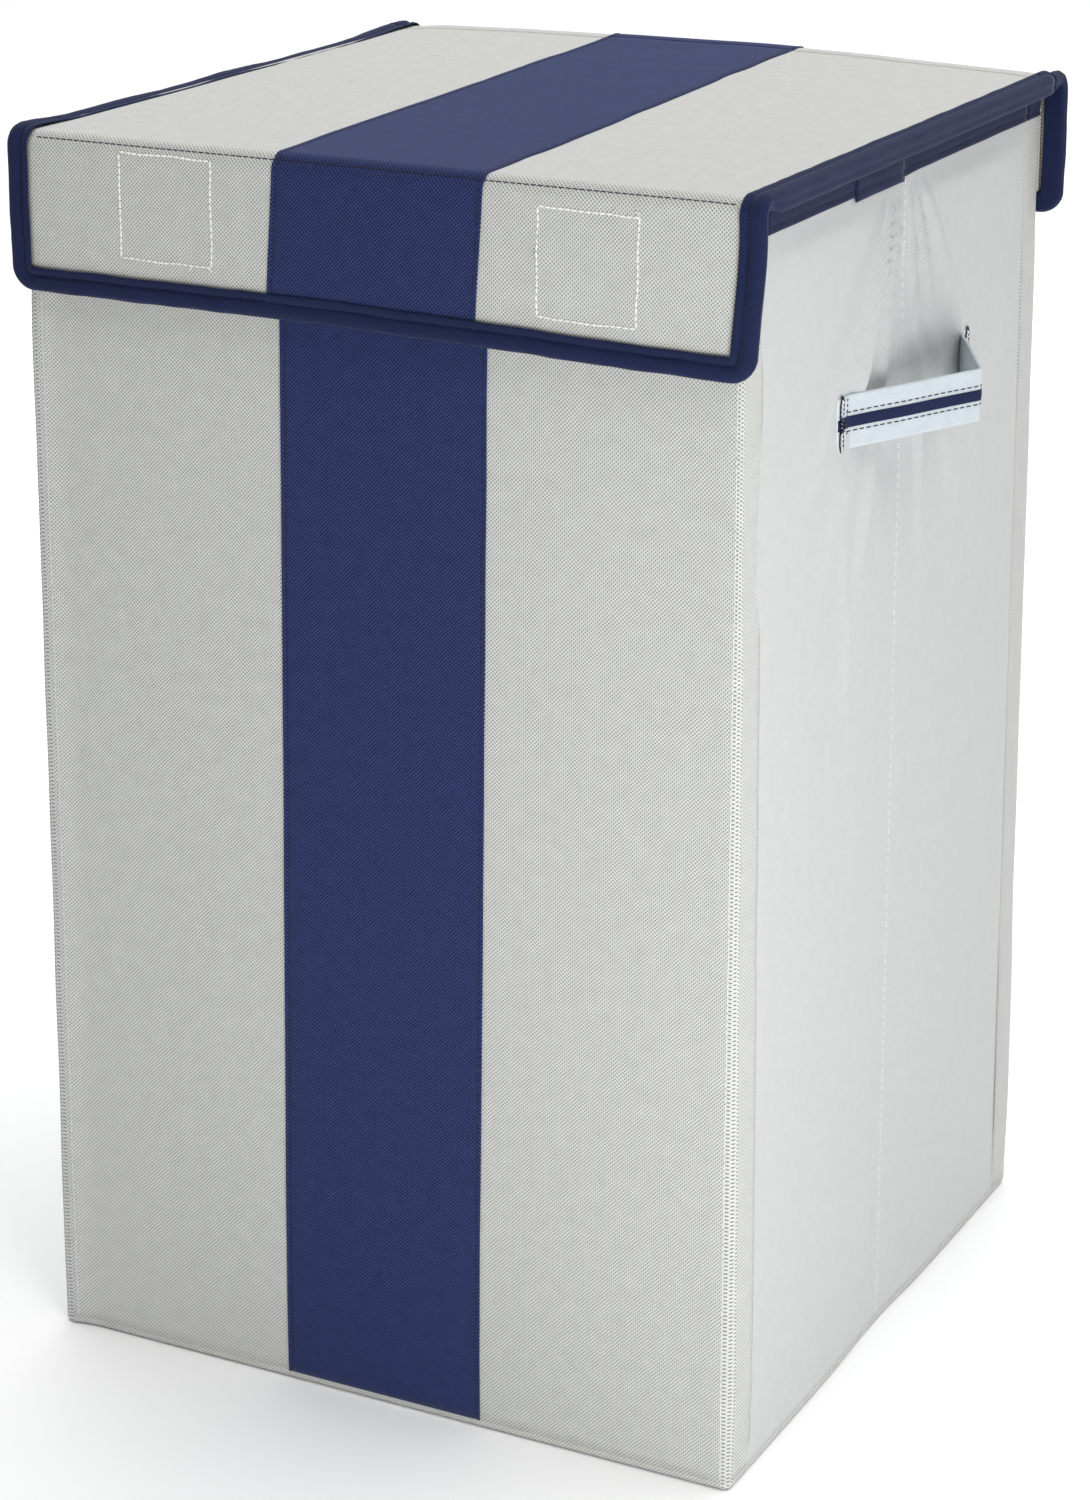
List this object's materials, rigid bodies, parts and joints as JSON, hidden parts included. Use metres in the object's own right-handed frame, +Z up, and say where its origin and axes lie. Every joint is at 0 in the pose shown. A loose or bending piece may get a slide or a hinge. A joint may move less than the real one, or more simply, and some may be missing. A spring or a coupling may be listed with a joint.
{
  "type": "laundry hamper with lid",
  "caption": "Tall square folding fabric laundry hamper: board walls in grey cloth, navy centre stripe, hinged lid with flaps bound in navy, and a webbing handle on each side.",
  "frame": {"origin": "centre of the footprint, on the surface that the hamper stands on", "axes": "+Z up, -Y towards the front with the closure flap, +X towards the right side wall seen from the front"},
  "size_m": [0.4296, 0.3694, 0.6006],
  "materials": {
    "grey_fabric": "matt non-woven cloth with a fine diagonal emboss",
    "side_fabric": "matt smooth non-woven cloth",
    "base_fabric": "matt non-woven cloth",
    "navy_fabric": "matt non-woven cloth with a fine diagonal emboss",
    "navy_binding": "folded bias tape, matt",
    "navy_tape": "woven tape, matt",
    "webbing": "woven webbing, satin",
    "dark_thread": "twisted sewing thread",
    "hook_tape": "hook tape, matt",
    "loop_tape": "brushed loop tape, matt",
    "board": "plain grey-brown board, matt"
  },
  "bodies": {
    "back": {"back_cover": "grey_fabric", "back_board": "board", "back_stripe": "navy_fabric", "back_rim_binding": "navy_binding", "rear_flap_cover": "grey_fabric", "rear_flap_board": "board", "rear_flap_stripe": "navy_fabric", "rear_flap_binding": "navy_binding", "rear_seam_tape": "navy_binding", "bottom_cover": "base_fabric"},
    "front": {"front_cover": "grey_fabric", "front_board": "board", "front_stripe": "navy_fabric", "front_rim_binding": "navy_binding", "loop_patches": "loop_tape"},
    "lid": {"lid_cover": "grey_fabric", "lid_board": "board", "lid_stripe": "navy_fabric", "lid_left_binding": "navy_binding", "lid_right_binding": "navy_binding"},
    "flap": {"flap_cover": "grey_fabric", "flap_board": "board", "flap_stripe": "navy_fabric", "flap_binding": "navy_binding", "hook_patches": "hook_tape"},
    "base": {"base_board": "board", "base_board_cover": "base_fabric"},
    "right_rear": {"right_rear_cover": "side_fabric", "right_rear_board": "board", "right_rear_rim_binding": "navy_binding", "right_handle_webbing": "webbing", "right_handle_stripe": "navy_tape", "right_handle_rear_tack": "dark_thread"},
    "right_front": {"right_front_cover": "side_fabric", "right_front_board": "board", "right_front_rim_binding": "navy_binding", "right_handle_front_tack": "dark_thread"},
    "left_rear": {"left_rear_cover": "side_fabric", "left_rear_board": "board", "left_rear_rim_binding": "navy_binding", "left_handle_webbing": "webbing", "left_handle_stripe": "navy_tape", "left_handle_rear_tack": "dark_thread"},
    "left_front": {"left_front_cover": "side_fabric", "left_front_board": "board", "left_front_rim_binding": "navy_binding", "left_handle_front_tack": "dark_thread"}
  },
  "joints": [
    {"name": "lid_hinge", "type": "hinge", "parent": "back", "child": "lid", "pos_m": [0, 0.1837, 0.6], "axis": [-1, 0, 0], "range_deg": [0, 255]},
    {"name": "flap_fold", "type": "hinge", "parent": "lid", "child": "flap", "pos_m": [0, -0.1837, 0.6], "axis": [-1, 0, 0], "range_deg": [0, 175]},
    {"name": "side_fold", "type": "hinge", "parent": "back", "child": "right_rear", "pos_m": [0.1735, 0.1685, 0.3], "axis": [0, 0, -1], "range_deg": [0, 84], "deforming": ["bottom_cover"]},
    {"name": "right_crease", "type": "hinge", "parent": "right_rear", "child": "right_front", "pos_m": [0.1793, 0, 0.3], "axis": [0, 0, -1], "range_deg": [-168, 0], "deforming": ["right_handle_webbing", "right_handle_stripe"]},
    {"name": "front_fold", "type": "hinge", "parent": "right_front", "child": "front", "pos_m": [0.1735, -0.1685, 0.3], "axis": [0, 0, -1], "range_deg": [0, 84]},
    {"name": "left_rear_fold", "type": "hinge", "parent": "back", "child": "left_rear", "pos_m": [-0.1735, 0.1685, 0.3], "axis": [0, 0, 1], "range_deg": [0, 84]},
    {"name": "left_crease", "type": "hinge", "parent": "left_rear", "child": "left_front", "pos_m": [-0.1793, 0, 0.3], "axis": [0, 0, 1], "range_deg": [-168, 0], "deforming": ["left_handle_webbing", "left_handle_stripe"]},
    {"name": "base_fold", "type": "hinge", "parent": "back", "child": "base", "pos_m": [0, 0.1732, 0.0037], "axis": [-1, 0, 0], "range_deg": [0, 90]}
  ],
  "couplings": [
    {"joint": "right_crease", "follows": "side_fold", "ratio": -2},
    {"joint": "front_fold", "follows": "side_fold", "ratio": 1},
    {"joint": "left_rear_fold", "follows": "side_fold", "ratio": 1},
    {"joint": "left_crease", "follows": "side_fold", "ratio": -2}
  ]
}
